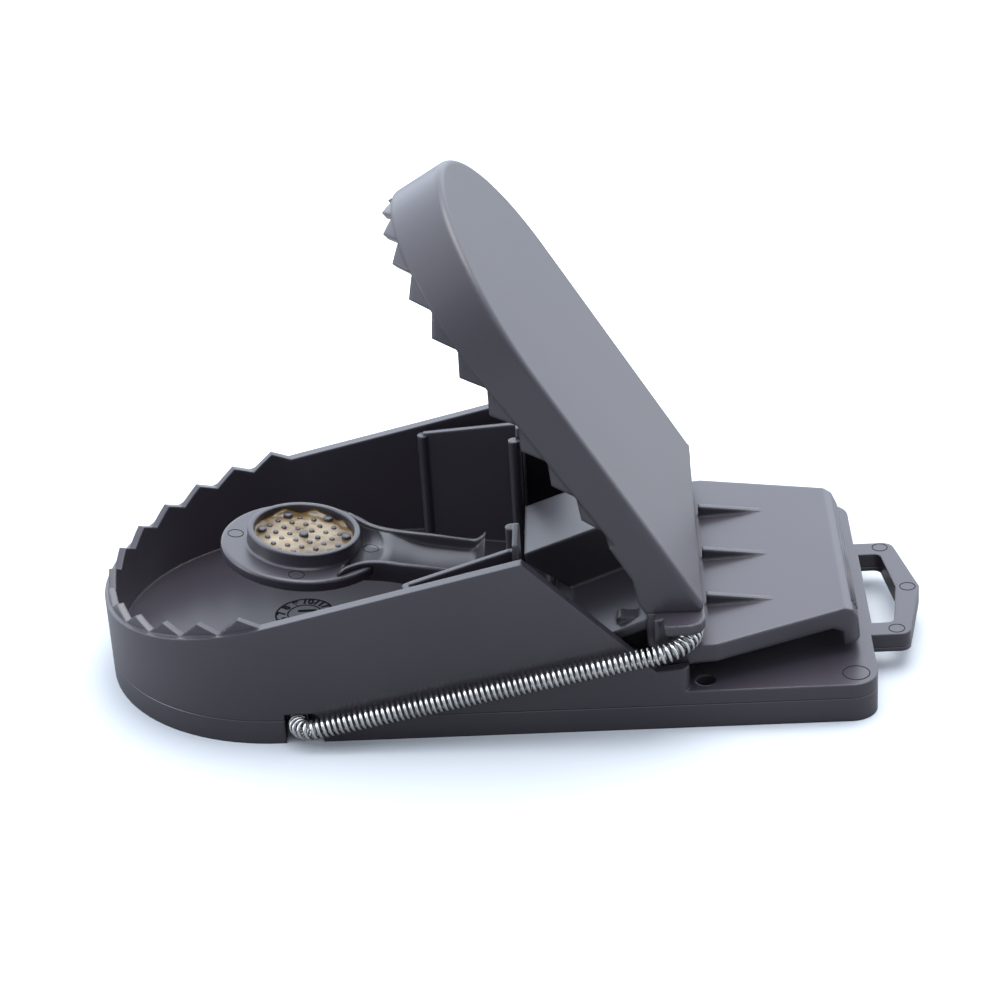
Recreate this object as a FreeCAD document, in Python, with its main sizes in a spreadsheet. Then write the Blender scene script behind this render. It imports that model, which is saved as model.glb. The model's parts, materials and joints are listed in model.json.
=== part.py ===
import FreeCAD, Part
import math
import os
import Sketcher
from FreeCAD import Vector

# A small snap mouse trap, set: a D-shaped tray with a toothed rim, a toothed jaw on a thumb lever,
# a bait treadle that holds the lever's tongue, and one endless wire spring round the outside.
# X runs from the tray's round front to the handle, Y across, Z up. The origin is under the middle
# of the whole trap, on the face that it stands on. Lengths are in mm, angles in degrees.

SIZES = {
    # tray
    "base_length": 98.4,
    "base_width": 48.0,
    "wall": 1.5,
    "floor_height": 4.7,
    "plate_height": 5.2,
    "under_depth": 3.6,
    "under_rib": 1.1,
    "rear_corner_radius": 3.4,
    "rim_top": 23.9,
    "rim_slope": 13.2,
    "hump_lead": 2.9,
    "hump_slope": 45.0,
    "step_height": 8.1,
    "step_rise": 0.4,
    "step_end": 17.0,
    "peg_hole_radius": 1.25,
    "peg_hole_inset": 21.3,
    "peg_hole_half_pitch": 21.4,
    "spring_notch_width": 4.7,
    "spring_notch_height": 4.1,
    # teeth of the tray and of the jaw
    "tooth_height": 1.75,
    "tooth_inset": 0.54,
    "tray_tooth_angle": 13.39,
    "jaw_tooth_inset": 0.38,
    "jaw_tooth_angle": 14.9,
    "jaw_tooth_pitch": 5.86,
    # handle loop behind the tray
    "handle_reach": 7.4,
    "handle_leg": 4.95,
    "handle_half_width": 12.1,
    "handle_bottom": 2.7,
    "handle_top": 5.2,
    "handle_bar": 3.05,
    "handle_outer_radius": 1.5,
    "handle_inner_radius": 1.0,
    "wall_end_radius": 1.2,
    # guides and bulkheads inside the tray
    "bulkhead_lead": 3.65,
    "bulkhead_thickness": 0.8,
    "bulkhead_height": 24.0,
    "bulkhead_gap": 12.5,
    "post_radius": 0.82,
    "guide_length": 13.2,
    "guide_height": 20.0,
    "guide_rise": 2.6,
    "guide_inset": 3.4,
    # hinge of the jaw and lever
    "hinge_inset": 40.3,
    "hinge_height": 8.1,
    "hinge_pin_radius": 0.8,
    "hinge_play": 0.05,
    "hub_radius": 2.0,
    "hub_inside": 8.8,
    "hub_thickness": 1.5,
    "lug_thickness": 1.5,
    "side_play": 0.3,
    # jaw
    "jaw_angle": 58.9,
    "jaw_width": 44.16,
    "jaw_length": 57.8,
    "jaw_rise": 20.5,
    "jaw_wall": 1.4,
    "jaw_top": 1.3,
    "jaw_edge_radius": 0.8,
    "jaw_rear_depth": 6.6,
    "jaw_skirt_depth": 5.3,
    "jaw_skirt_length": 13.2,
    "jaw_side_slope": 3.9,
    "jaw_front_slope": 4.66,
    "jaw_tooth_depth": 7.25,
    "jaw_gap_depth": 5.4,
    "jaw_gap_side_slope": 2.0,
    "jaw_gap_front_slope": 5.0,
    "seat_height": 7.25,
    # lever
    "lever_thickness": 1.4,
    "lever_skirt": 2.4,
    "lever_half_width": 22.1,
    "lever_tail_half_width": 15.6,
    "lever_front": 16.4,
    "lever_shoulder": 20.4,
    "lever_tail": 36.6,
    "lever_height": 2.3,
    "lever_slope": 3.6,
    "lip_reach": 2.1,
    "lip_bottom": -1.6,
    "rib_thickness": 0.9,
    "rib_height": 1.6,
    "rib_length": 8.4,
    "rib_pitch": 11.9,
    "beam_front": 12.0,
    "beam_depth": 3.85,
    "horn_lead": 0.9,
    "web_front": 2.7,
    "web_height": 2.65,
    "web_slope": 20.5,
    "web_thickness": 1.3,
    "tongue_half_width": 6.5,
    "tongue_wall": 1.1,
    "tongue_tip": -3.1,
    "tongue_height": 7.8,
    "tongue_slope": 19.8,
    "tongue_rear": 9.6,
    "shoe_half_width": 25.6,
    "shoe_thickness": 1.25,
    "shoe_lead": 2.0,
    "shoe_tail": 3.2,
    "shoe_corner": 2.0,
    "web_lug_front": 8.3,
    "web_lug_inside": 18.0,
    "web_lug_width": 2.0,
    "web_lug_height": 5.8,
    # treadle
    "treadle_pivot_lead": 10.7,
    "treadle_pivot_height": 8.6,
    "treadle_pin_radius": 0.6,
    "treadle_half_width": 4.9,
    "treadle_wall": 0.9,
    "cup_lead": 21.0,
    "cup_radius": 7.4,
    "cup_wall": 0.8,
    "cup_height": 9.0,
    "disc_radius": 10.2,
    "disc_offset": 1.0,
    "disc_top": 6.7,
    "disc_thickness": 1.5,
    "neck_front": -17.0,
    "neck_rear": -11.0,
    "neck_half_width": 8.0,
    "arm_top_front": 6.25,
    "arm_top_middle": 5.6,
    "arm_kink": 0.9,
    "arm_kink_height": 3.5,
    "ramp_top": 1.95,
    "ramp_height": 4.9,
    "ramp_foot": 0.5,
    "ramp_foot_height": 1.85,
    "ramp_front_foot": -0.3,
    "arm_belly": -2.6,
    "arm_belly_height": 1.5,
    "arm_bend": -7.0,
    "arm_bend_height": 2.3,
    "arm_floor": 0.9,
    "bait_depth": 1.7,
    "bait_below_rim": 0.8,
    "bait_pin_radius": 0.55,
    "bait_pin_circle": 5.0,
    # spring
    "spring_diameter": 3.1,
    "wire": 0.45,
    "spring_gap": 0.2,
    "spring_beam_gap": 0.2,
    "spring_rear_bend": 4.3,
    "spring_front_bend": 3.0,
    "spring_front_height": 1.85,
    "spring_front_lead": 2.6,
    "spring_shoe_gap": 0.2635,
    "spring_curl_pitch": 2.3,
    "spring_crossing_pitch": 8.0,
}

doc = FreeCAD.newDocument("mouse_trap")
sheet = doc.addObject("Spreadsheet::Sheet", "dim")
for row, (name, number) in enumerate(SIZES.items(), start=1):
    sheet.set(f"A{row}", name)
    sheet.set(f"B{row}", str(number))
    sheet.setAlias(f"B{row}", name)
doc.recompute()


class Size:
    """A number that carries the spreadsheet formula it comes from, so that features can be bound to it."""

    def __init__(self, value, formula):
        self.value = value
        self.formula = formula

    def __add__(self, other):
        other = size(other)
        return Size(self.value + other.value, f"({self.formula} + {other.formula})")

    def __sub__(self, other):
        other = size(other)
        return Size(self.value - other.value, f"({self.formula} - {other.formula})")

    def __mul__(self, other):
        other = size(other)
        return Size(self.value * other.value, f"({self.formula} * {other.formula})")

    def __truediv__(self, other):
        other = size(other)
        return Size(self.value / other.value, f"({self.formula} / {other.formula})")

    def __neg__(self):
        return Size(-self.value, f"(-1 * {self.formula})")

    def __radd__(self, other):
        return size(other) + self

    def __rsub__(self, other):
        return size(other) - self

    def __rmul__(self, other):
        return size(other) * self


def size(number):
    return number if isinstance(number, Size) else Size(float(number), repr(float(number)))


def sine(angle):
    return Size(math.sin(math.radians(angle.value)), f"sin({angle.formula})")


def cosine(angle):
    return Size(math.cos(math.radians(angle.value)), f"cos({angle.formula})")


def tangent(angle):
    return Size(math.tan(math.radians(angle.value)), f"tan({angle.formula})")


class Sizes:
    """The sheet's cells by name."""

    def __getattr__(self, name):
        return Size(float(sheet.get(name)), f"dim.{name}")


d = Sizes()


# Sketches and features

def bind(thing, name, length):
    length = size(length)
    setattr(thing, name, length.value)
    thing.setExpression(name, length.formula)


def new_body(name):
    body = doc.addObject("PartDesign::Body", name)
    body.Label = name
    return body


def place(node, x=0.0, z=0.0, turn=0.0):
    """Sets a piece on the trap, turned about a line across it."""
    x, z, turn = size(x), size(z), size(turn)
    node.Placement = FreeCAD.Placement(
        Vector(x.value, 0, z.value), FreeCAD.Rotation(Vector(0, 1, 0), turn.value)
    )
    node.setExpression("Placement.Base.x", x.formula)
    node.setExpression("Placement.Base.z", z.formula)
    node.setExpression("Placement.Rotation.Angle", turn.formula)


def plane(body, role):
    return [feature for feature in body.Origin.OriginFeatures if feature.Role == role][0]


def new_sketch(body, name, role, offset=0.0):
    """A sketch on one of the body's own planes, shifted along the plane's normal."""
    sketch = body.newObject("Sketcher::SketchObject", name)
    sketch.AttachmentSupport = [(plane(body, role), "")]
    sketch.MapMode = "FlatFace"
    offset = size(offset)
    sketch.AttachmentOffset = FreeCAD.Placement(Vector(0, 0, offset.value), FreeCAD.Rotation())
    sketch.setExpression("AttachmentOffset.Base.z", offset.formula)
    return sketch


def fix_point(sketch, geometry, end, x, y):
    """Holds a point of the sketch at x, y from the sketch's origin."""
    for kind, length in (("DistanceX", size(x)), ("DistanceY", size(y))):
        number = sketch.addConstraint(
            Sketcher.Constraint(kind, -1, 1, geometry, end, length.value)
        )
        sketch.setExpression(f"Constraints[{number}]", length.formula)


def add_polygon(sketch, points):
    first = sketch.GeometryCount
    places = [Vector(size(x).value, size(y).value, 0) for x, y in points]
    count = len(points)
    for i in range(count):
        sketch.addGeometry(Part.LineSegment(places[i], places[(i + 1) % count]))
    for i in range(count):
        sketch.addConstraint(
            Sketcher.Constraint("Coincident", first + i, 2, first + (i + 1) % count, 1)
        )
        fix_point(sketch, first + i, 1, *points[i])


def add_circle(sketch, x, y, radius):
    x, y, radius = size(x), size(y), size(radius)
    circle = Part.Circle(Vector(x.value, y.value, 0), Vector(0, 0, 1), radius.value)
    number = sketch.addGeometry(circle)
    fix_point(sketch, number, 3, x, y)
    constraint = sketch.addConstraint(Sketcher.Constraint("Radius", number, radius.value))
    sketch.setExpression(f"Constraints[{constraint}]", radius.formula)


def add_round_front(sketch, centre, radius, end):
    """The outline of the trap in plan: a half circle in front, straight sides and a square rear."""
    centre, radius, end = size(centre), size(radius), size(end)
    middle = Vector(centre.value, 0, 0)
    circle = Part.Circle(middle, Vector(0, 0, 1), radius.value)
    arc = sketch.addGeometry(Part.ArcOfCircle(circle, math.pi / 2, 3 * math.pi / 2))
    corners = [
        Vector(centre.value, -radius.value, 0),
        Vector(end.value, -radius.value, 0),
        Vector(end.value, radius.value, 0),
        Vector(centre.value, radius.value, 0),
    ]
    near, rear, far = [
        sketch.addGeometry(Part.LineSegment(a, b)) for a, b in zip(corners, corners[1:])
    ]
    for joint in ((arc, 2, near, 1), (near, 2, rear, 1), (rear, 2, far, 1), (far, 2, arc, 1)):
        sketch.addConstraint(Sketcher.Constraint("Coincident", *joint))
    sketch.addConstraint(Sketcher.Constraint("Horizontal", near))
    sketch.addConstraint(Sketcher.Constraint("Horizontal", far))
    sketch.addConstraint(Sketcher.Constraint("Vertical", rear))
    sketch.addConstraint(Sketcher.Constraint("Vertical", arc, 3, arc, 1))
    sketch.addConstraint(Sketcher.Constraint("Vertical", arc, 3, arc, 2))
    fix_point(sketch, arc, 3, centre, 0)
    number = sketch.addConstraint(Sketcher.Constraint("Radius", arc, radius.value))
    sketch.setExpression(f"Constraints[{number}]", radius.formula)
    number = sketch.addConstraint(Sketcher.Constraint("DistanceX", -1, 1, rear, 1, end.value))
    sketch.setExpression(f"Constraints[{number}]", end.formula)


def pad(body, sketch, length, side="One side", reverse=False):
    feature = body.newObject("PartDesign::Pad", sketch.Name + "_pad")
    feature.Profile = sketch
    feature.SideType = side
    feature.Reversed = reverse
    bind(feature, "Length", length)
    sketch.Visibility = False
    return feature


def cut(body, sketch, length=None, side="One side", reverse=False):
    """Cuts a sketch out of the body, right through when no depth is given."""
    before = body.Shape.Volume if doc.recompute() >= 0 else 0.0
    feature = body.newObject("PartDesign::Pocket", sketch.Name + "_cut")
    feature.Profile = sketch
    feature.SideType = side
    feature.Reversed = reverse
    if length is None:
        feature.Type = "ThroughAll"
    else:
        bind(feature, "Length", length)
    doc.recompute()
    if not body.Shape.Volume < before:
        raise RuntimeError(feature.Name + " cuts nothing")
    return feature


def plate_pair(body, name, points, inside, thickness):
    """A flat plate on each side of the middle, drawn in side view."""
    for side in ("near", "far"):
        offset = inside if side == "near" else -inside
        sketch = new_sketch(body, f"{name}_{side}", "XZ_Plane", offset)
        add_polygon(sketch, points)
        pad(body, sketch, thickness, reverse=side == "far")


def fillet(body, name, radius, wanted):
    """Rounds the edges of the body's newest shape that the test picks by their middle and direction."""
    doc.recompute()
    base = body.Tip
    names = []
    for number, edge in enumerate(base.Shape.Edges, start=1):
        middle = edge.valueAt((edge.FirstParameter + edge.LastParameter) / 2)
        along = edge.tangentAt((edge.FirstParameter + edge.LastParameter) / 2)
        if wanted(middle, along, edge.Length):
            names.append(f"Edge{number}")
    if not names:
        raise RuntimeError(name + " finds no edge")
    feature = body.newObject("PartDesign::Fillet", name)
    feature.Base = (base, names)
    bind(feature, "Radius", radius)
    doc.recompute()
    return feature


def prism(points, along):
    """A straight bar whose end face has these corners."""
    return Part.Face(Part.makePolygon(points + points[:1])).extrude(along)


# Places that several pieces share

rear_x = (d.base_length - d.handle_reach) / 2
front_x = rear_x - d.base_length
arc_x = front_x + d.base_width / 2
half_width = d.base_width / 2
inner_half = half_width - d.wall
hinge_x = rear_x - d.hinge_inset
bulkhead_x = hinge_x - d.bulkhead_lead
hump_x = hinge_x - d.hump_lead
treadle_x = hinge_x - d.treadle_pivot_lead
spring_side = half_width + d.spring_diameter / 2 + d.spring_gap
lug_inside = d.hub_inside + d.hub_thickness + d.side_play
beam_rear = d.beam_front + d.beam_depth
spring_cross_x = beam_rear + d.spring_diameter / 2 + d.spring_beam_gap
spring_front_x = arc_x + d.spring_front_lead
spring_rear_x = hinge_x + spring_cross_x
shoe_underside = d.hinge_height + d.seat_height - d.shoe_thickness
spring_rear_height = shoe_underside - d.spring_diameter / 2 - d.spring_shoe_gap
spring_rise = (spring_rear_height - d.spring_front_height) / (spring_rear_x - spring_front_x)


def rim(x):
    """Height of the tray's plain rim, which is also the bottom of the gaps between its teeth."""
    return d.rim_top + (x - hump_x) * tangent(d.rim_slope)


# Tray

def tray_tooth_cutters():
    """V-shaped bars that leave a ring of teeth on the sloping rim, and the step outside the teeth."""
    radius = (half_width - d.tooth_inset).value
    angle = math.radians(d.tray_tooth_angle.value)
    slope = math.tan(math.radians(d.rim_slope.value))
    height = d.tooth_height.value
    centre = arc_x.value
    middle = rim(arc_x).value
    half = radius * math.tan(angle / 2)
    bars = []
    for number in range(-TRAY_TEETH_PER_SIDE - 1, TRAY_TEETH_PER_SIDE + 1):
        turn = (number + 0.5) * angle
        out = Vector(-math.cos(turn), math.sin(turn), 0)
        across = Vector(math.sin(turn), math.cos(turn), 0)

        def corner(sideways, lift):
            place_on_rim = Vector(centre, 0, 0) + out * radius + across * sideways
            return Vector(
                centre + across.x * sideways,
                across.y * sideways,
                middle + (place_on_rim.x - centre) * slope + lift,
            )

        points = [
            corner(0, 0),
            corner(half, height),
            corner(half, 3 * height),
            corner(-half, 3 * height),
            corner(-half, height),
        ]
        bars.append(prism(points, out * (radius + 3)))
    clear_height = 2 * d.rim_top.value
    ledge = Part.makeCylinder(radius + 5, clear_height, Vector(centre, 0, 0)).cut(
        Part.makeCylinder(radius, clear_height, Vector(centre, 0, 0))
    )
    end = radius + 6
    above = prism(
        [
            Vector(centre - end, -end, middle - end * slope),
            Vector(tray_teeth_end.value, -end, rim(tray_teeth_end).value),
            Vector(tray_teeth_end.value, -end, clear_height),
            Vector(centre - end, -end, clear_height),
        ],
        Vector(0, 2 * end, 0),
    )
    return bars[0].multiFuse(bars[1:] + [ledge.common(above)])


TRAY_TEETH_PER_SIDE = 6
tray_teeth_end = arc_x - (half_width - d.tooth_inset) * cosine(
    d.tray_tooth_angle * (TRAY_TEETH_PER_SIDE + 0.5)
)


def make_tray():
    body = new_body("tray_moulding")

    plan = new_sketch(body, "tray_plan", "XY_Plane")
    add_round_front(plan, arc_x, half_width, rear_x)
    pad(body, plan, d.rim_top)
    fillet(
        body, "rear_corners", d.rear_corner_radius,
        lambda middle, along, length: abs(along.z) > 0.9 and middle.x > rear_x.value - 1,
    )

    beyond = 5
    above = d.rim_top + beyond
    side = new_sketch(body, "tray_side", "XZ_Plane")
    slope_end = hump_x + (d.rim_top - d.step_height) / tangent(d.hump_slope)
    step_x = hinge_x + d.step_end
    add_polygon(side, [
        (front_x - beyond, rim(front_x - beyond) + d.tooth_height),
        (tray_teeth_end, rim(tray_teeth_end) + d.tooth_height),
        (tray_teeth_end, rim(tray_teeth_end)),
        (hump_x, d.rim_top),
        (slope_end, d.step_height),
        (step_x, d.step_height + d.step_rise),
        (step_x, d.plate_height),
        (rear_x + beyond, d.plate_height),
        (rear_x + beyond, above),
        (front_x - beyond, above),
    ])
    cut(body, side, side="Symmetric")
    fillet(
        body, "side_wall_ends", d.wall_end_radius,
        lambda middle, along, length: abs(along.z) > 0.9
        and abs(middle.x - step_x.value) < 0.1 and abs(middle.y) > inner_half.value,
    )

    inside = new_sketch(body, "tray_inside", "XY_Plane", d.floor_height)
    add_round_front(inside, arc_x, inner_half, bulkhead_x)
    cut(body, inside, reverse=True)
    rear_inside = new_sketch(body, "tray_rear_inside", "XY_Plane", d.plate_height)
    add_polygon(rear_inside, [
        (bulkhead_x - 1, -inner_half),
        (step_x + 1, -inner_half),
        (step_x + 1, inner_half),
        (bulkhead_x - 1, inner_half),
    ])
    cut(body, rear_inside, reverse=True)

    under = new_sketch(body, "tray_underside", "XY_Plane")
    add_round_front(under, arc_x, inner_half, rear_x - d.wall * 2)
    cut(body, under, d.under_depth, reverse=True)
    ribs = new_sketch(body, "underside_ribs", "XY_Plane")
    channel = (spring_front_x - 4.2, spring_front_x + 4.2)
    for x in (*channel, hinge_x - 6, hinge_x + 14):
        add_polygon(ribs, [
            (x, -inner_half - 0.5), (x + d.under_rib, -inner_half - 0.5),
            (x + d.under_rib, inner_half + 0.5), (x, inner_half + 0.5),
        ])
    pad(body, ribs, d.under_depth + 0.2)
    keels = new_sketch(body, "underside_keels", "XY_Plane")
    for y in (-9, 9):
        add_polygon(keels, [
            (channel[1], y), (rear_x - d.wall, y),
            (rear_x - d.wall, y + d.under_rib), (channel[1], y + d.under_rib),
        ])
    pad(body, keels, d.under_depth + 0.2)

    notch = new_sketch(body, "spring_notches", "XZ_Plane")
    add_polygon(notch, [
        (spring_front_x - d.spring_notch_width * 0.4, -1),
        (spring_front_x + d.spring_notch_width * 0.6, -1),
        (spring_front_x + d.spring_notch_width * 0.6, d.spring_notch_height - 1),
        (spring_front_x + d.spring_notch_width * 0.6 - 1, d.spring_notch_height),
        (spring_front_x - d.spring_notch_width * 0.4, d.spring_notch_height),
    ])
    cut(body, notch, side="Symmetric")
    floor_again = new_sketch(body, "floor_over_notches", "XY_Plane", d.under_depth)
    add_polygon(floor_again, [
        (spring_front_x - 4, -inner_half), (spring_front_x + 4, -inner_half),
        (spring_front_x + 4, inner_half), (spring_front_x - 4, inner_half),
    ])
    pad(body, floor_again, d.floor_height - d.under_depth)

    make_bulkheads(body)
    make_bearing_lugs(body)
    make_handle(body)

    holes = new_sketch(body, "peg_holes", "XY_Plane", d.plate_height + 1)
    for side_y in (-1, 1):
        add_circle(holes, rear_x - d.peg_hole_inset, side_y * d.peg_hole_half_pitch, d.peg_hole_radius)
    cut(body, holes)
    return body


def make_bulkheads(body):
    """Walls across the tray in front of the hinge, and the posts and panels that guide the treadle."""
    y_inner = d.bulkhead_gap
    for name, sign in (("near", -1), ("far", 1)):
        wall = new_sketch(body, "bulkhead_" + name, "YZ_Plane", bulkhead_x)
        add_polygon(wall, [
            (sign * y_inner, d.floor_height - 0.5),
            (sign * y_inner, d.bulkhead_height - 0.8),
            (sign * (y_inner + 0.8), d.bulkhead_height),
            (sign * (inner_half - 3.2), d.bulkhead_height),
            (sign * (inner_half - 2.4), d.bulkhead_height - 2.9),
            (sign * (inner_half + 0.3), d.bulkhead_height - 2.9),
            (sign * (inner_half + 0.3), d.floor_height - 0.5),
        ])
        pad(body, wall, d.bulkhead_thickness, side="Symmetric")
        posts = new_sketch(body, "posts_" + name, "XY_Plane", d.floor_height - 0.2)
        outer = (bulkhead_x - d.guide_length, sign * (inner_half - 1.6))
        add_circle(posts, *outer, d.post_radius)
        pad(body, posts, d.guide_height - d.floor_height + 0.2)
        inner_posts = new_sketch(body, "inner_posts_" + name, "XY_Plane", d.floor_height - 0.2)
        add_circle(inner_posts, bulkhead_x - 0.6, sign * (y_inner - 0.4), d.post_radius)
        pad(body, inner_posts, d.bulkhead_height - 0.9 - d.floor_height)
        panel = new_sketch(body, "guide_" + name, "XY_Plane", d.floor_height - 0.2)
        thick = 0.4
        end = (bulkhead_x, sign * (inner_half - 1.6 - d.guide_inset))
        add_polygon(panel, [
            (outer[0], outer[1] - thick), (end[0], end[1] - thick),
            (end[0], end[1] + thick), (outer[0], outer[1] + thick),
        ])
        pad(body, panel, d.guide_height + d.guide_rise - d.floor_height + 0.2)
        panel_y = inner_half - 1.6 - d.guide_inset - 1.5
        top = new_sketch(body, "guide_top_" + name, "XZ_Plane", -sign * panel_y)
        low = d.guide_height + 0.05
        add_polygon(top, [
            (outer[0] - 1.5, low), (bulkhead_x - d.bulkhead_thickness, low + d.guide_rise),
            (bulkhead_x - d.bulkhead_thickness, d.rim_top + 3), (outer[0] - 1.5, d.rim_top + 3),
        ])
        cut(body, top, d.guide_inset + 2.4, reverse=sign < 0)


def make_bearing_lugs(body):
    """Cheeks that carry the hinge pin, and smaller ones for the treadle's pin."""
    reach = d.hub_radius + 0.2
    plate_pair(body, "hinge_lug", [
        (bulkhead_x, d.plate_height - 0.5), (hinge_x + reach + 0.6, d.plate_height - 0.5),
        (hinge_x + reach, d.hinge_height), (hinge_x + reach * 0.6, d.hinge_height + reach * 0.8),
        (hinge_x - reach * 0.6, d.hinge_height + reach * 0.8), (bulkhead_x, d.hinge_height + 1.6),
    ], lug_inside, d.lug_thickness)
    bore = new_sketch(body, "hinge_bore", "XZ_Plane")
    add_circle(bore, hinge_x, d.hinge_height, d.hinge_pin_radius + d.hinge_play)
    cut(body, bore, (lug_inside + d.lug_thickness) * 2 + 0.2, side="Symmetric")
    cheek = d.treadle_pin_radius + 0.8
    plate_pair(body, "treadle_lug", [
        (treadle_x - cheek - 0.5, d.floor_height - 0.5), (treadle_x + cheek + 0.5, d.floor_height - 0.5),
        (treadle_x + cheek, d.treadle_pivot_height),
        (treadle_x + cheek * 0.5, d.treadle_pivot_height + cheek),
        (treadle_x - cheek * 0.5, d.treadle_pivot_height + cheek),
        (treadle_x - cheek, d.treadle_pivot_height),
    ], d.treadle_half_width + d.side_play, d.lug_thickness * 0.8)
    pivot = new_sketch(body, "treadle_bore", "XZ_Plane")
    add_circle(pivot, treadle_x, d.treadle_pivot_height, d.treadle_pin_radius + d.hinge_play)
    cut(body, pivot, d.treadle_half_width * 2 + 6, side="Symmetric")


def make_handle(body):
    loop = new_sketch(body, "handle_loop", "XY_Plane", d.handle_bottom)
    leg = rear_x + d.handle_leg
    outer = d.handle_half_width
    inner = d.handle_half_width - d.handle_bar
    add_polygon(loop, [
        (rear_x - 0.6, -outer), (leg, -outer), (rear_x + d.handle_reach, 0),
        (leg, outer), (rear_x - 0.6, outer),
    ])
    bar = d.handle_bar
    add_polygon(loop, [
        (rear_x + 0.35, -inner), (leg - bar * 0.57, -inner), (rear_x + d.handle_reach - bar, 0),
        (leg - bar * 0.57, inner), (rear_x + 0.35, inner),
    ])
    pad(body, loop, d.handle_top - d.handle_bottom)
    fillet(
        body, "handle_outer_corners", d.handle_outer_radius,
        lambda middle, along, length: abs(along.z) > 0.9
        and abs(middle.x - leg.value) < 0.1 and abs(abs(middle.y) - outer.value) < 0.1,
    )
    inner_leg = leg - bar * 0.57
    fillet(
        body, "handle_inner_corners", d.handle_inner_radius,
        lambda middle, along, length: abs(along.z) > 0.9
        and abs(middle.x - inner_leg.value) < 0.1 and abs(abs(middle.y) - inner.value) < 0.1,
    )


# Jaw, drawn with its top face level and the hinge at the origin

jaw_half = d.jaw_width / 2
jaw_corner = (d.jaw_rise * cosine(d.jaw_angle) - d.seat_height) / sine(d.jaw_angle)
jaw_rear = jaw_corner - 0.8
jaw_tip = jaw_rear - d.jaw_length
jaw_arc = jaw_tip + jaw_half
JAW_ARC_TEETH_PER_SIDE = 6
JAW_SIDE_TEETH = 4
jaw_skirt_x = jaw_rear - d.jaw_skirt_length


def seat_line(height):
    """Where the jaw's rear end, at this height, meets the level face of the lever's beam."""
    return (height * cosine(d.jaw_angle) - d.seat_height) / sine(d.jaw_angle)


def jaw_line(x, depth, side_slope, front_slope):
    """Height of a line along the jaw's edge that drops faster round the front than along the sides."""
    slope = side_slope if x > jaw_arc.value else front_slope
    return (d.jaw_rise - depth).value - (jaw_arc.value - x) * tangent(slope).value


def jaw_tip_height(x):
    return jaw_line(x, d.jaw_tooth_depth, d.jaw_side_slope, d.jaw_front_slope)


def jaw_gap_height(x):
    """Top of the gaps between the teeth, where the wall's outer skin ends as well."""
    return jaw_line(x, d.jaw_gap_depth, d.jaw_gap_side_slope, d.jaw_gap_front_slope)


def jaw_tooth_cutters():
    """V-shaped bars under the round front and the sides, and the step outside the teeth."""
    radius = (jaw_half - d.jaw_tooth_inset).value
    angle = math.radians(d.jaw_tooth_angle.value)
    centre = jaw_arc.value
    half = radius * math.tan(angle / 2)
    bars = []
    for number in range(-JAW_ARC_TEETH_PER_SIDE, JAW_ARC_TEETH_PER_SIDE):
        turn = (number + 0.5) * angle
        out = Vector(-math.cos(turn), math.sin(turn), 0)
        across = Vector(math.sin(turn), math.cos(turn), 0)
        start = Vector(centre, 0, 0)
        left = start + across * half
        right = start - across * half
        middle_x = (start + out * radius).x
        left_x = (left + out * radius).x
        right_x = (right + out * radius).x
        bars.append(prism([
            Vector(start.x, start.y, jaw_gap_height(middle_x)),
            Vector(left.x, left.y, jaw_tip_height(left_x)),
            Vector(left.x, left.y, BELOW_JAW),
            Vector(right.x, right.y, BELOW_JAW),
            Vector(right.x, right.y, jaw_tip_height(right_x)),
        ], out * (radius + 3)))
    pitch = d.jaw_tooth_pitch.value
    reach = jaw_half.value + 5
    for number in range(JAW_SIDE_TEETH):
        x = centre + (number + 0.5) * pitch
        front, rear = x - pitch / 2, x + pitch / 2
        bars.append(prism([
            Vector(x, -reach, jaw_gap_height(x)),
            Vector(rear, -reach, jaw_tip_height(rear)),
            Vector(rear, -reach, BELOW_JAW),
            Vector(front, -reach, BELOW_JAW),
            Vector(front, -reach, jaw_tip_height(front)),
        ], Vector(0, 2 * reach, 0)))
    end = jaw_skirt_x.value
    tip = centre - radius
    below_skin = prism([
        Vector(tip - 2, -reach, jaw_gap_height(tip - 2)),
        Vector(centre, -reach, jaw_gap_height(centre)),
        Vector(end, -reach, jaw_gap_height(end)),
        Vector(end, -reach, BELOW_JAW),
        Vector(tip - 2, -reach, BELOW_JAW),
    ], Vector(0, 2 * reach, 0))
    height = d.jaw_rise.value - BELOW_JAW
    toothed = Part.makeCylinder(radius, height, Vector(centre, 0, BELOW_JAW)).fuse(
        Part.makeBox(end - centre + 1, 2 * radius, height, Vector(centre, -radius, BELOW_JAW))
    )
    return bars[0].multiFuse(bars[1:] + [below_skin.cut(toothed)])


BELOW_JAW = -5.0


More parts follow.
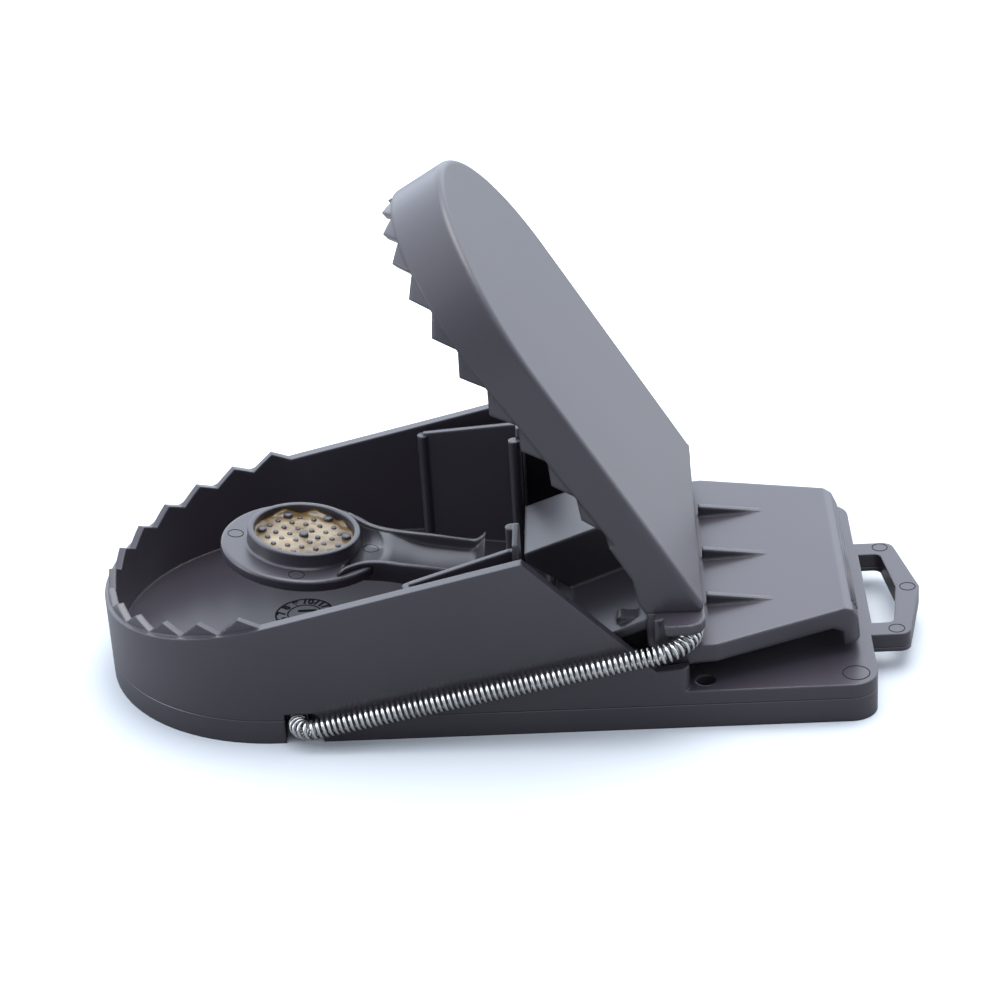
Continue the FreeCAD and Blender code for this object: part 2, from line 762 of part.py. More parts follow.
def make_jaw():
    body = new_body("jaw_moulding")
    deepest = d.jaw_rear_depth + 4
    plan = new_sketch(body, "jaw_plan", "XY_Plane", d.jaw_rise - deepest)
    add_round_front(plan, jaw_arc, jaw_half, jaw_corner)
    pad(body, plan, deepest)

    beyond = 6
    bottom = d.jaw_rise - deepest - 1
    front_depth = d.jaw_tooth_depth + (jaw_arc - jaw_tip + beyond) * tangent(d.jaw_front_slope)
    side_depth = d.jaw_tooth_depth + (jaw_arc - jaw_skirt_x) * tangent(d.jaw_side_slope)
    low = d.jaw_rise - d.jaw_rear_depth
    side = new_sketch(body, "jaw_side", "XZ_Plane")
    add_polygon(side, [
        (jaw_tip - beyond, d.jaw_rise - front_depth),
        (jaw_arc, d.jaw_rise - d.jaw_tooth_depth),
        (jaw_skirt_x, d.jaw_rise - side_depth),
        (jaw_skirt_x, d.jaw_rise - d.jaw_skirt_depth),
        (jaw_skirt_x + d.jaw_skirt_length * 0.4, d.jaw_rise - d.jaw_skirt_depth - 0.1),
        (seat_line(low) - 1.5, low),
        (seat_line(low), low),
        (seat_line(d.jaw_rise + 1), d.jaw_rise + 1),
        (jaw_corner + beyond, d.jaw_rise + 1),
        (jaw_corner + beyond, bottom),
        (jaw_tip - beyond, bottom),
    ])
    cut(body, side, side="Symmetric")

    cavity = new_sketch(body, "jaw_cavity", "XY_Plane", d.jaw_rise - d.jaw_top)
    add_round_front(cavity, jaw_arc, jaw_half - d.jaw_wall, jaw_corner + 1)
    cut(body, cavity)

    end = new_sketch(body, "jaw_rear_end", "XZ_Plane")
    high = d.jaw_rise - d.jaw_top * 0.5
    inward = (d.jaw_wall - 0.5) / sine(d.jaw_angle)
    add_polygon(end, [
        (seat_line(low), low), (seat_line(high), high),
        (seat_line(high) - inward, high), (seat_line(low) - inward, low),
    ])
    pad(body, end, d.jaw_width - d.jaw_wall, side="Symmetric")

    ribs = new_sketch(body, "jaw_ribs", "XY_Plane", d.jaw_rise - d.jaw_top - 1.2)
    for y in (-10, 10):
        add_polygon(ribs, [
            (jaw_tip + 8, y - 0.45), (jaw_rear - 12, y - 0.45), (jaw_rear - 12, y + 0.45), (jaw_tip + 8, y + 0.45),
        ])
    pad(body, ribs, 1.6)

    fillet(
        body, "jaw_top_edge", d.jaw_edge_radius,
        lambda middle, along, length: abs(middle.z - d.jaw_rise.value) < 0.01,
    )
    return body


# Lever, drawn level with the hinge at the origin

def lever_top(x):
    return d.lever_height + (x - d.lever_front) * tangent(d.lever_slope)


def make_lever():
    body = new_body("setting_lever")

    plate = new_sketch(body, "lever_plan", "XY_Plane", d.lip_bottom)
    full, tail = d.lever_half_width, d.lever_tail_half_width
    lip_x = d.lever_tail + d.lip_reach
    add_polygon(plate, [
        (d.lever_front, -full), (d.lever_shoulder, -full), (lip_x, -tail),
        (lip_x, tail), (d.lever_shoulder, full), (d.lever_front, full),
    ])
    pad(body, plate, lever_top(lip_x) - d.lip_bottom)
    fillet(
        body, "lever_tail_corners", 2.2,
        lambda middle, along, length: abs(along.z) > 0.9 and middle.x > d.lever_tail.value,
    )
    side = new_sketch(body, "lever_side", "XZ_Plane")
    above = lever_top(lip_x) + 2
    skirt = d.lever_skirt
    add_polygon(side, [
        (d.lever_front - 1, above), (d.lever_front - 1, lever_top(d.lever_front)),
        (d.lever_front + 0.8, lever_top(d.lever_front + 0.8)),
        (d.lever_tail, lever_top(d.lever_tail)),
        (d.lever_tail + d.lip_reach * 0.5, lever_top(d.lever_tail) - 0.5),
        (d.lever_tail + d.lip_reach * 0.85, lever_top(d.lever_tail) - 1.9),
        (lip_x, d.lip_bottom + 0.2),
        (lip_x + 2, d.lip_bottom + 0.2), (lip_x + 2, above),
    ])
    cut(body, side, side="Symmetric")
    below = new_sketch(body, "lever_below", "XZ_Plane")
    lip_inner = d.lever_tail + d.lip_reach * 0.5 - 1.3
    add_polygon(below, [
        (d.lever_front - 1, d.lip_bottom - 1), (d.lever_front - 1, lever_top(d.lever_front) - skirt),
        (lip_inner - 1.2, lever_top(lip_inner - 1.2) - skirt),
        (lip_inner, lever_top(lip_inner) - skirt - 0.8),
        (lip_inner + 0.4, d.lip_bottom - 1),
    ])
    cut(body, below, side="Symmetric")
    hollow = new_sketch(body, "lever_hollow", "XZ_Plane")
    thick = d.lever_thickness
    add_polygon(hollow, [
        (d.lever_front + 1.6, d.lip_bottom - 1),
        (d.lever_front + 1.6, lever_top(d.lever_front + 1.6) - thick),
        (lip_inner - 0.4, lever_top(lip_inner - 0.4) - thick),
        (lip_inner, lever_top(lip_inner) - skirt - 0.8),
        (lip_inner + 0.4, d.lip_bottom - 1),
    ])
    cut(body, hollow, (d.lever_tail_half_width - 1.6) * 2, side="Symmetric")

    beam = new_sketch(body, "lever_beam", "XZ_Plane")
    add_polygon(beam, [
        (d.beam_front, d.seat_height - 4), (d.beam_front, d.seat_height),
        (beam_rear, d.seat_height), (beam_rear, lever_top(d.lever_front)),
        (d.lever_front + 1, lever_top(d.lever_front)), (d.lever_front + 1, lever_top(d.lever_front) - skirt),
        (beam_rear - 2.4, lever_top(d.lever_front) - skirt),
    ])
    pad(body, beam, d.lever_half_width * 2, side="Symmetric")

    make_horns(body)

    ribs = new_sketch(body, "lever_ribs", "XZ_Plane")
    rib_front = spring_cross_x + d.spring_diameter / 2 + 0.5
    rib_tail = rib_front + d.rib_length
    add_polygon(ribs, [
        (rib_front, lever_top(rib_front) - 0.3), (rib_tail, lever_top(rib_tail) - 0.3),
        (rib_tail, lever_top(rib_tail)), (rib_front, lever_top(rib_front) + d.rib_height),
    ])
    pad(body, ribs, d.rib_thickness, side="Symmetric")
    plate_pair(body, "lever_side_rib", [
        (rib_front, lever_top(rib_front) - 0.3), (rib_tail, lever_top(rib_tail) - 0.3),
        (rib_tail, lever_top(rib_tail)), (rib_front, lever_top(rib_front) + d.rib_height),
    ], d.rib_pitch - d.rib_thickness / 2, d.rib_thickness)

    make_web(body)
    make_hubs(body)
    return body


def make_horns(body):
    """The ends of the beam that the spring bends round, and the shoes that keep it from riding up."""
    horn_z = d.seat_height - 4.5
    horn_y = half_width - 0.05
    for name, sign in (("near", -1), ("far", 1)):
        horn = new_sketch(body, "horn_" + name, "XY_Plane", horn_z)
        inside = d.lever_half_width - 1
        bend = d.spring_rear_bend - d.spring_diameter / 2
        add_polygon(horn, [
            (d.beam_front + d.horn_lead, sign * inside), (beam_rear, sign * inside),
            (beam_rear, sign * (horn_y - bend)),
            (beam_rear - bend * 0.3, sign * (horn_y - bend * 0.3)),
            (beam_rear - bend, sign * horn_y), (d.beam_front + d.horn_lead, sign * horn_y),
        ])
        pad(body, horn, d.seat_height - horn_z)
        shoe = new_sketch(body, "shoe_" + name, "XY_Plane", d.seat_height - d.shoe_thickness)
        outer = d.shoe_half_width
        shoe_front = d.beam_front + d.shoe_lead
        shoe_rear = beam_rear + d.shoe_tail
        corner = d.shoe_corner
        add_polygon(shoe, [
            (shoe_front, sign * (inside - 1)), (shoe_rear, sign * (inside - 1)),
            (shoe_rear, sign * (outer - corner)), (shoe_rear - corner * 0.3, sign * (outer - corner * 0.3)),
            (shoe_rear - corner, sign * outer),
            (shoe_front + 0.5, sign * outer), (shoe_front, sign * (outer - 0.5)),
        ])
        pad(body, shoe, d.shoe_thickness)


def web_top(x):
    return d.web_height + (x - d.web_front) * tangent(d.web_slope)


def make_web(body):
    """The sloping floor between the hinge and the beam, with the latch tongue standing on it."""
    web = new_sketch(body, "lever_web", "XZ_Plane")
    into = d.beam_front + 0.4
    add_polygon(web, [
        (d.web_front, web_top(d.web_front)), (into, web_top(into)),
        (into, web_top(into) - d.web_thickness), (d.web_front, web_top(d.web_front) - d.web_thickness),
    ])
    pad(body, web, (d.lever_half_width - 0.6) * 2, side="Symmetric")
    lug = d.web_lug_front
    plate_pair(body, "web_lug", [
        (lug, web_top(lug) - 0.3), (into, web_top(into) - 0.3), (into, d.web_lug_height),
        (lug + 0.4, d.web_lug_height), (lug, d.web_lug_height - 0.4),
    ], d.web_lug_inside, d.web_lug_width)

    rise = tangent(d.tongue_slope)
    roof = 1.2

    def tongue_top(x):
        return d.tongue_height + (x - d.tongue_tip) * rise

    rear = d.tongue_rear
    tongue = new_sketch(body, "tongue", "XZ_Plane")
    foot = d.web_front + 0.2
    add_polygon(tongue, [
        (d.tongue_tip, tongue_top(d.tongue_tip)), (rear, tongue_top(rear)),
        (rear, web_top(rear) - 0.3), (foot, web_top(foot) - 0.3),
        (d.tongue_tip + 1.4, tongue_top(d.tongue_tip) - roof - 0.9),
        (d.tongue_tip + 0.2, tongue_top(d.tongue_tip) - roof),
    ])
    pad(body, tongue, d.tongue_half_width * 2, side="Symmetric")
    hollow = new_sketch(body, "tongue_hollow", "XZ_Plane")
    add_polygon(hollow, [
        (d.tongue_tip - 1, tongue_top(d.tongue_tip - 1) - roof),
        (rear - 1.2, tongue_top(rear - 1.2) - roof),
        (rear - 1.2, web_top(rear - 1.2)), (foot - 1.5, web_top(foot - 1.5)),
        (d.tongue_tip - 1, tongue_top(d.tongue_tip - 1) - roof - 3),
    ])
    cut(body, hollow, (d.tongue_half_width - d.tongue_wall) * 2, side="Symmetric")


def make_hubs(body):
    arm_end = d.beam_front + 0.5
    for name, offset, reverse in (("near", d.hub_inside, False), ("far", -d.hub_inside, True)):
        ring = new_sketch(body, "hub_" + name, "XZ_Plane", offset)
        add_circle(ring, 0, 0, d.hub_radius)
        pad(body, ring, d.hub_thickness, reverse=reverse)
    plate_pair(body, "hub_arm", [
        (0, d.hub_radius), (0, -d.hub_radius), (arm_end, d.seat_height - 4),
        (arm_end, d.seat_height - 2), (d.web_front + 0.3, web_top(d.web_front + 0.3) - 0.2),
    ], d.hub_inside, d.hub_thickness)
    bore = new_sketch(body, "hub_bore", "XZ_Plane")
    add_circle(bore, 0, 0, d.hinge_pin_radius + d.hinge_play)
    cut(body, bore, (d.hub_inside + d.hub_thickness) * 2 + 0.2, side="Symmetric")


# Treadle, drawn set with its pivot at the origin

def make_treadle():
    body = new_body("bait_treadle")
    cup_x = -d.cup_lead
    disc = new_sketch(body, "treadle_disc", "XY_Plane", d.disc_top - d.disc_thickness)
    add_circle(disc, cup_x - d.disc_offset, 0, d.disc_radius)
    pad(body, disc, d.disc_thickness)

    cup = new_sketch(body, "bait_cup", "XY_Plane", d.disc_top - 0.2)
    add_circle(cup, cup_x, 0, d.cup_radius)
    pad(body, cup, d.cup_height - d.disc_top + 0.2)

    half = d.treadle_half_width
    wall = d.treadle_wall
    disc_bottom = d.disc_top - d.disc_thickness
    disc_rear = cup_x - d.disc_offset + d.disc_radius
    cup_rear = cup_x + d.cup_radius
    neck = new_sketch(body, "treadle_neck", "XY_Plane", disc_bottom)
    flare = d.neck_half_width - half
    neck_front = [
        (d.neck_front, d.neck_half_width),
        (disc_rear - d.neck_half_width * 0.46, d.neck_half_width),
        (disc_rear - d.neck_half_width * 0.31, half + flare * 0.58),
        (disc_rear - d.neck_half_width * 0.06, half + flare * 0.05),
        (d.neck_rear, half),
    ]
    add_polygon(neck, neck_front + [(x, -y) for x, y in reversed(neck_front)])
    pad(body, neck, d.arm_top_front - disc_bottom)
    arm = new_sketch(body, "treadle_arm", "XZ_Plane")
    add_polygon(arm, [
        (cup_rear - 0.5, d.disc_top), (disc_rear - 0.3, d.arm_top_front),
        (disc_rear + 3.2, d.arm_top_middle), (d.arm_kink, d.arm_kink_height),
        (d.ramp_top, d.ramp_height), (d.ramp_top + 0.25, d.ramp_height - 0.2),
        (d.ramp_foot, d.ramp_foot_height), (d.arm_belly, d.arm_belly_height),
        (d.arm_bend, d.arm_bend_height), (disc_rear - 1.2, disc_bottom), (cup_rear - 0.5, disc_bottom),
    ])
    pad(body, arm, half * 2, side="Symmetric")
    channel = new_sketch(body, "treadle_channel", "XZ_Plane")
    above = d.disc_top + 3
    add_polygon(channel, [
        (cup_rear + 0.3, above), (d.ramp_top + 0.1, above),
        (d.ramp_top + 0.1, d.ramp_height + 0.2),
        (d.ramp_front_foot, d.ramp_foot_height + d.arm_floor * 0.75),
        (d.arm_belly, d.arm_belly_height + d.arm_floor), (d.arm_bend, d.arm_bend_height + d.arm_floor),
        (disc_rear - 0.4, d.arm_top_front - 0.4), (cup_rear + 0.3, d.arm_top_front - 0.1),
    ])
    cut(body, channel, (half - wall) * 2, side="Symmetric")

    inside = new_sketch(body, "cup_inside", "XY_Plane", d.cup_height - d.bait_below_rim - d.bait_depth)
    add_circle(inside, cup_x, 0, d.cup_radius - d.cup_wall)
    cut(body, inside, reverse=True)
    pins = new_sketch(body, "bait_pins", "XY_Plane", d.cup_height - d.bait_below_rim - d.bait_depth - 0.2)
    for x, y in bait_pin_places(cup_x):
        add_circle(pins, x, y, d.bait_pin_radius)
    pad(body, pins, d.bait_depth + 0.5)

    ear = d.treadle_pin_radius + 0.8
    plate_pair(body, "treadle_ear", [
        (-ear, 0), (size(-0.6) * ear, -ear), (size(0.6) * ear, -ear), (ear, 0), (ear, size(2.0)), (-ear, size(2.0)),
    ], half - 1.7, size(1.7))
    bore = new_sketch(body, "treadle_pin_bore", "XZ_Plane")
    add_circle(bore, 0, 0, d.treadle_pin_radius + d.hinge_play)
    cut(body, bore, half * 2 + 1, side="Symmetric")
    return body


def bait_pin_places(cup_x):
    places = [(cup_x, size(0))]
    for number in range(4):
        angle = math.radians(-12 + 58 * number)
        places.append((
            cup_x + d.bait_pin_circle * math.cos(angle),
            d.bait_pin_circle * math.sin(angle),
        ))
    return places


def make_bait():
    body = new_body("bait_paste")
    paste = new_sketch(body, "paste", "XY_Plane", d.cup_height - d.bait_below_rim - d.bait_depth)
    cup_x = -d.cup_lead
    add_circle(paste, cup_x, 0, d.cup_radius - d.cup_wall)
    for x, y in bait_pin_places(cup_x):
        add_circle(paste, x, y, d.bait_pin_radius)
    pad(body, paste, d.bait_depth)
    return body


def make_pin(name, radius, length):
    body = new_body(name)
    round_bar = new_sketch(body, name + "_section", "XZ_Plane")
    add_circle(round_bar, 0, 0, radius)
    pad(body, round_bar, length, side="Symmetric")
    return body


# Spring

def spring_shape():
    """One wire wound round a loop path: two coiled sides, round bends, and two stretched crossings."""
    radius = (d.spring_diameter.value - d.wire.value) / 2
    front_bend = d.spring_front_bend.value
    rear_bend = d.spring_rear_bend.value
    front = spring_front_x.value
    rear = spring_rear_x.value
    side = spring_side.value
    slope = math.atan(spring_rise.value)
    half_front = side - front_bend
    half_rear = side - rear_bend
    length = (rear - front) / math.cos(slope) - front_bend - rear_bend
    front_quarter = front_bend * math.pi / 2
    rear_quarter = rear_bend * math.pi / 2
    marks = [
        (half_front, 0), (front_quarter, front_bend), (length, 0), (rear_quarter, rear_bend),
        (2 * half_rear, 0),
        (rear_quarter, rear_bend), (length, 0), (front_quarter, front_bend), (half_front, 0),
    ]
    along = Vector(math.cos(slope), 0, math.sin(slope))
    across = Vector(0, -1, 0)
    normal = across.cross(along)
    corner = Vector(front, 0, d.spring_front_height.value)

    def at(distance):
        """Place on the loop's centre line, its direction, the way to the inside, and the bend's radius."""
        point = Vector(corner)
        heading = Vector(across)
        left = distance
        for run, bend in marks:
            step = min(left, run)
            inward = normal.cross(heading)
            if bend:
                turn = step / bend
                point = point + heading * (bend * math.sin(turn)) + inward * (bend * (1 - math.cos(turn)))
                heading = heading * math.cos(turn) + inward * math.sin(turn)
            else:
                point = point + heading * step
            left -= step
            if left <= 1e-9:
                break
        return point, heading, normal.cross(heading), bend

    total = sum(run for run, bend in marks)
    coiled = front_quarter + length + rear_quarter
    coil = [
        (half_front, half_front + coiled),
        (total - half_front - coiled, total - half_front),
    ]

    def pitch_at(distance):
        gap = min(max(a - distance, distance - b, 0) for a, b in coil)
        share = min(gap / 4, 1)
        tight, loose = d.spring_curl_pitch.value, d.spring_crossing_pitch.value
        return tight + (loose - tight) * share * share * (3 - 2 * share)

    points, tangents = [], []
    distance, angle = 0.4, 0.0
    while distance < total - 0.4:
        point, heading, inward, bend = at(distance)
        round_wire = inward * math.cos(angle) + normal * math.sin(angle)
        points.append(point + round_wire * radius)
        turning = (normal * math.cos(angle) - inward * math.sin(angle)) * radius
        squeeze = 1 - radius * math.cos(angle) / bend if bend else 1
        advance = heading * (pitch_at(distance) / (2 * math.pi) * squeeze)
        tangents.append((turning + advance).normalize())
        distance += pitch_at(distance) / 4
        angle += math.pi / 2
    edges = []
    for a, b, t0, t1 in zip(points, points[1:], tangents, tangents[1:]):
        edges += biarc(a, t0, b, t1)
    path = Part.Wire(edges)
    start, heading = points[0], tangents[0]
    flat = heading.cross(normal).normalize()
    upright = heading.cross(flat).normalize()
    w = d.wire.value / 2 * 1.1
    square = Part.makePolygon([
        start + flat * a + upright * b for a, b in ((w, w), (-w, w), (-w, -w), (w, -w), (w, w))
    ])
    shell = Part.BRepOffsetAPI.MakePipeShell(path)
    shell.add(square)
    shell.build()
    shell.makeSolid()
    print_least_gap(points)
    return shell.shape()


def biarc(a, t0, b, t1):
    """Two arcs from a to b that leave and arrive along the given directions."""
    chord = b - a
    both = t0 + t1
    bend = 2 * (1 - t0.dot(t1))
    slack = chord.dot(both)
    leg = (-slack + math.sqrt(slack * slack + bend * chord.dot(chord))) / bend
    joint = (a + b + (t0 - t1) * leg) / 2
    return [arc_with_leg(a, a + t0 * leg, joint), arc_with_leg(joint, b - t1 * leg, b)]


def arc_with_leg(a, control, b):
    weight = (b - a).Length / ((control - a).Length + (b - control).Length)
    middle = (a + b + control * (2 * weight)) / (2 * (1 + weight))
    return Part.Arc(a, middle, b).toShape()


def print_least_gap(points):
    """The least distance between the wire and its next turns, measured on the quarter-turn points."""
    least = min(
        (points[i] - points[j]).Length
        for i in range(len(points)) for j in range(i + 4, min(i + 12, len(points)))
    )
    curls = len(points) / 4
    print(f"spring: {curls:.0f} curls, least gap to itself {least - SIZES['wire'] * 1.1:.2f} mm")


# Assembly

def with_teeth(body, name, cutters):
    tool = doc.addObject("Part::Feature", name + "_tooth_gaps")
    tool.Shape = cutters
    node = doc.addObject("Part::Cut", name)
    node.Base = body
    node.Tool = tool
    node.Label = name
    return node


tray = with_teeth(make_tray(), "base_tray", tray_tooth_cutters())
jaw = with_teeth(make_jaw(), "upper_jaw", jaw_tooth_cutters())
place(jaw, hinge_x, d.hinge_height, d.jaw_angle)
lever = make_lever()
place(lever, hinge_x, d.hinge_height)
treadle = make_treadle()
place(treadle, treadle_x, d.treadle_pivot_height)
bait = make_bait()
place(bait, treadle_x, d.treadle_pivot_height)
hinge_pin = make_pin("hinge_pin", d.hinge_pin_radius, (lug_inside + d.lug_thickness) * 2)
place(hinge_pin, hinge_x, d.hinge_height)
treadle_pin = make_pin(
    "treadle_pin", d.treadle_pin_radius, (d.treadle_half_width + d.side_play + d.lug_thickness * 0.8) * 2
)
place(treadle_pin, treadle_x, d.treadle_pivot_height)
spring = doc.addObject("Part::Feature", "closing_spring")
spring.Label = "closing_spring"
spring.Shape = spring_shape()

doc.recompute()
for thing in doc.Objects:
    if "Invalid" in thing.State or "Error" in thing.State:
        raise RuntimeError(f"{thing.Name} failed: {thing.State}")

os.makedirs("parts", exist_ok=True)
for node in (tray, jaw, lever, hinge_pin, treadle, treadle_pin, bait, spring):
    if node.Shape.isNull() or not node.Shape.isValid():
        raise RuntimeError(node.Label + " has no valid shape")
    print(node.Label, len(node.Shape.Solids), round(node.Shape.Volume, 2))
    node.Shape.exportStep(f"parts/{node.Label}.step")
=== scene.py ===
import json
import math

import bpy
from mathutils import Matrix, Vector, noise


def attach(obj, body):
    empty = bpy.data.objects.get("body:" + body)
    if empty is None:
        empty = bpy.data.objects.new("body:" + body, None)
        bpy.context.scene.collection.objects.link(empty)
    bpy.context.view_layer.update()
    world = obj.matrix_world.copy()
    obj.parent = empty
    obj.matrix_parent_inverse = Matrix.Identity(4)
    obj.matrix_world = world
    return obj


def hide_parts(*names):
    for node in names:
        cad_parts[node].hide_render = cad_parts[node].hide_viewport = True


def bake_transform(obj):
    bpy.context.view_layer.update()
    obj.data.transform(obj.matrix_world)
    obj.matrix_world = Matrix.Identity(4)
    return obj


# A set snap mouse trap. The frame gives the solids. This script gives them their looks, and it draws
# the spring's close-wound coils, the treadle at its photographed tilt, the bait paste with its small
# pins, the dial on the tray's floor and the marks of the mould. Forms are in millimetres, which MM
# turns into metres. Materials, floor and lights are in metres.

MM = 0.001

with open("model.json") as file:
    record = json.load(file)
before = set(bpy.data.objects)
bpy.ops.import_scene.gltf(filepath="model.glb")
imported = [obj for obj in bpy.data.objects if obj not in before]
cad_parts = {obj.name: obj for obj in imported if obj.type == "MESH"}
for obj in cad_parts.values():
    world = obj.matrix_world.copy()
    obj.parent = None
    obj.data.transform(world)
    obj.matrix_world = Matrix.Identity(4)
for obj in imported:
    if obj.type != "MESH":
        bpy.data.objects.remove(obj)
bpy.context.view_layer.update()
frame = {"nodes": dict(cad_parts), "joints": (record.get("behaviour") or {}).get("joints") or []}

# Places on the solids

JOINTS = {joint["name"]: joint for joint in frame["joints"]}
HINGE = Vector(JOINTS["jaw_hinge"]["pos_m"]) / MM
PIVOT = Vector(JOINTS["treadle_hinge"]["pos_m"]) / MM

BASE_HALF_WIDTH = 24.0
FLOOR_TOP = 4.7
PLATE_TOP = 5.2
BEAM_REAR_FROM_HINGE = 15.85


# Mesh helpers: a form is a list of vertices and a list of faces

def new_object(name, vertices, faces, smooth=True):
    mesh = bpy.data.meshes.new(name)
    mesh.from_pydata([Vector(v) * MM for v in vertices], [], faces)
    mesh.update()
    if smooth:
        mesh.shade_smooth()
    thing = bpy.data.objects.new(name, mesh)
    bpy.context.scene.collection.objects.link(thing)
    return thing


def join_forms(forms):
    """One form from several."""
    vertices, faces = [], []
    for form_vertices, form_faces in forms:
        start = len(vertices)
        vertices += form_vertices
        faces += [tuple(start + i for i in face) for face in form_faces]
    return vertices, faces


def lathe(profile, centre, sides=48):
    """A form turned about an upright line; the profile is a list of radius and height."""
    vertices, faces = [], []
    for radius, height in profile:
        for i in range(sides):
            angle = 2 * math.pi * i / sides
            vertices.append((
                centre[0] + radius * math.cos(angle),
                centre[1] + radius * math.sin(angle),
                centre[2] + height,
            ))
    for ring in range(len(profile) - 1):
        for i in range(sides):
            j = (i + 1) % sides
            a = ring * sides
            b = a + sides
            faces.append((a + i, a + j, b + j, b + i))
    return vertices, faces


def ring_lathe(profile, sides):
    """A turned ring, whose profile closes on itself."""
    return lathe(profile + profile[:1], (0, 0, 0), sides)


def box_form(centre, size):
    vertices = [
        (centre[0] + size[0] * a, centre[1] + size[1] * b, centre[2] + size[2] * c)
        for a in (-0.5, 0.5) for b in (-0.5, 0.5) for c in (-0.5, 0.5)
    ]
    faces = [(0, 1, 3, 2), (4, 6, 7, 5), (0, 4, 5, 1), (2, 3, 7, 6), (0, 2, 6, 4), (1, 5, 7, 3)]
    return vertices, faces


def tube_along(points, radius, sides):
    """A round wire through the points, with capped ends."""
    vertices, faces = [], []
    last = len(points) - 1
    normal = None
    for i, point in enumerate(points):
        heading = (points[min(i + 1, last)] - points[max(i - 1, 0)]).normalized()
        if normal is None:
            normal = heading.orthogonal().normalized()
        normal = (normal - heading * normal.dot(heading)).normalized()
        side = heading.cross(normal)
        for k in range(sides):
            angle = 2 * math.pi * k / sides
            vertices.append(point + (normal * math.cos(angle) + side * math.sin(angle)) * radius)
    for i in range(last):
        for k in range(sides):
            j = (k + 1) % sides
            a, b = i * sides, (i + 1) * sides
            faces.append((a + k, a + j, b + j, b + k))
    faces.append(tuple(range(sides))[::-1])
    faces.append(tuple(last * sides + k for k in range(sides)))
    return vertices, faces


# Shader helpers, for a material or for the room

def node(owner, kind, operation=None, **inputs):
    new = owner.node_tree.nodes.new(kind)
    if operation:
        new.operation = operation
    for name, value in inputs.items():
        new.inputs[name].default_value = value
    return new


def wire_up(owner, source, output, target, socket):
    owner.node_tree.links.new(source.outputs[output], target.inputs[socket])


def map_range(owner, source, output, old, new, smooth=False):
    """Turns a value that runs over the old range into one that runs over the new range."""
    made = node(owner, "ShaderNodeMapRange")
    if smooth:
        made.interpolation_type = "SMOOTHSTEP"
    made.inputs["From Min"].default_value = old[0]
    made.inputs["From Max"].default_value = old[1]
    made.inputs["To Min"].default_value = new[0]
    made.inputs["To Max"].default_value = new[1]
    wire_up(owner, source, output, made, "Value")
    return made


def principled(made):
    return made.node_tree.nodes["Principled BSDF"]


def material(name, colour, roughness, metallic=0.0, specular=0.5):
    made = bpy.data.materials.new(name)
    made.use_nodes = True
    shader = principled(made)
    shader.inputs["Base Color"].default_value = (*colour, 1)
    shader.inputs["Roughness"].default_value = roughness
    shader.inputs["Metallic"].default_value = metallic
    shader.inputs["Specular IOR Level"].default_value = specular
    return made


def add_grain(made, scale, strength, distance, edge=None):
    """Fine relief in the surface, on top of softly rounded edges."""
    place = node(made, "ShaderNodeTexCoord")
    speckle = node(made, "ShaderNodeTexNoise", Scale=scale, Detail=3.0, Roughness=0.6)
    wire_up(made, place, "Object", speckle, "Vector")
    bump = node(made, "ShaderNodeBump", Strength=strength, Distance=distance)
    wire_up(made, speckle, 0, bump, "Height")
    if edge:
        rounded = node(made, "ShaderNodeBevel", Radius=edge)
        rounded.samples = 4
        wire_up(made, rounded, "Normal", bump, "Normal")
    wire_up(made, bump, "Normal", principled(made), "Normal")


def add_colour_drift(made, low, high, scale, middle=None, fade=None):
    """Slow change of colour over the surface, falling to the low colour away from the middle."""
    place = node(made, "ShaderNodeTexCoord")
    clouds = node(made, "ShaderNodeTexNoise", Scale=scale, Detail=2.0)
    wire_up(made, place, "Object", clouds, "Vector")
    ramp = node(made, "ShaderNodeValToRGB")
    start, end = ramp.color_ramp.elements
    start.position = 0.3
    start.color = (*low, 1)
    end.position = 0.7
    end.color = (*high, 1)
    if fade:
        away = node(made, "ShaderNodeVectorMath", "DISTANCE")
        away.inputs[1].default_value = middle
        wire_up(made, place, "Object", away, 0)
        share = map_range(made, away, "Value", fade, (1.0, 0.4))
        faded = node(made, "ShaderNodeMath", "MULTIPLY")
        wire_up(made, clouds, 0, faded, 0)
        wire_up(made, share, 0, faded, 1)
        wire_up(made, faded, 0, ramp, "Fac")
    else:
        wire_up(made, clouds, 0, ramp, "Fac")
    wire_up(made, ramp, "Color", principled(made), "Base Color")


def add_parting_line(made, height, half_width, depth):
    """A faint groove round the part at one height, cut into the relief that is there already."""
    relief = principled(made).inputs["Normal"].links[0].from_node
    place = node(made, "ShaderNodeNewGeometry")
    split = node(made, "ShaderNodeSeparateXYZ")
    wire_up(made, place, "Position", split, "Vector")
    above = node(made, "ShaderNodeMath", "SUBTRACT")
    above.inputs[1].default_value = height
    wire_up(made, split, "Z", above, 0)
    away = node(made, "ShaderNodeMath", "ABSOLUTE")
    wire_up(made, above, 0, away, 0)
    groove = map_range(made, away, 0, (0, half_width), (0, 1))
    bump = node(made, "ShaderNodeBump", Strength=1.0, Distance=depth)
    wire_up(made, groove, 0, bump, "Height")
    wire_up(made, relief, "Normal", bump, "Normal")
    wire_up(made, bump, "Normal", principled(made), "Normal")


# Materials of the solids

def moulded_plastic(name, edge):
    """Dark satin plastic whose edges look rounded by the given radius."""
    made = material(name, (0.031, 0.026, 0.033), 0.32, specular=0.68)
    add_colour_drift(made, (0.029, 0.024, 0.031), (0.035, 0.029, 0.037), 40)
    add_grain(made, 2500, 0.08, 0.00005, edge=edge)
    return made


plastic = moulded_plastic("satin_plastic", 0.0003)
tray_plastic = moulded_plastic("satin_plastic_tray", 0.0004)
add_parting_line(tray_plastic, height=0.00326, half_width=0.00012, depth=0.00009)
rolled_plastic = moulded_plastic("satin_plastic_rolled", 0.0006)

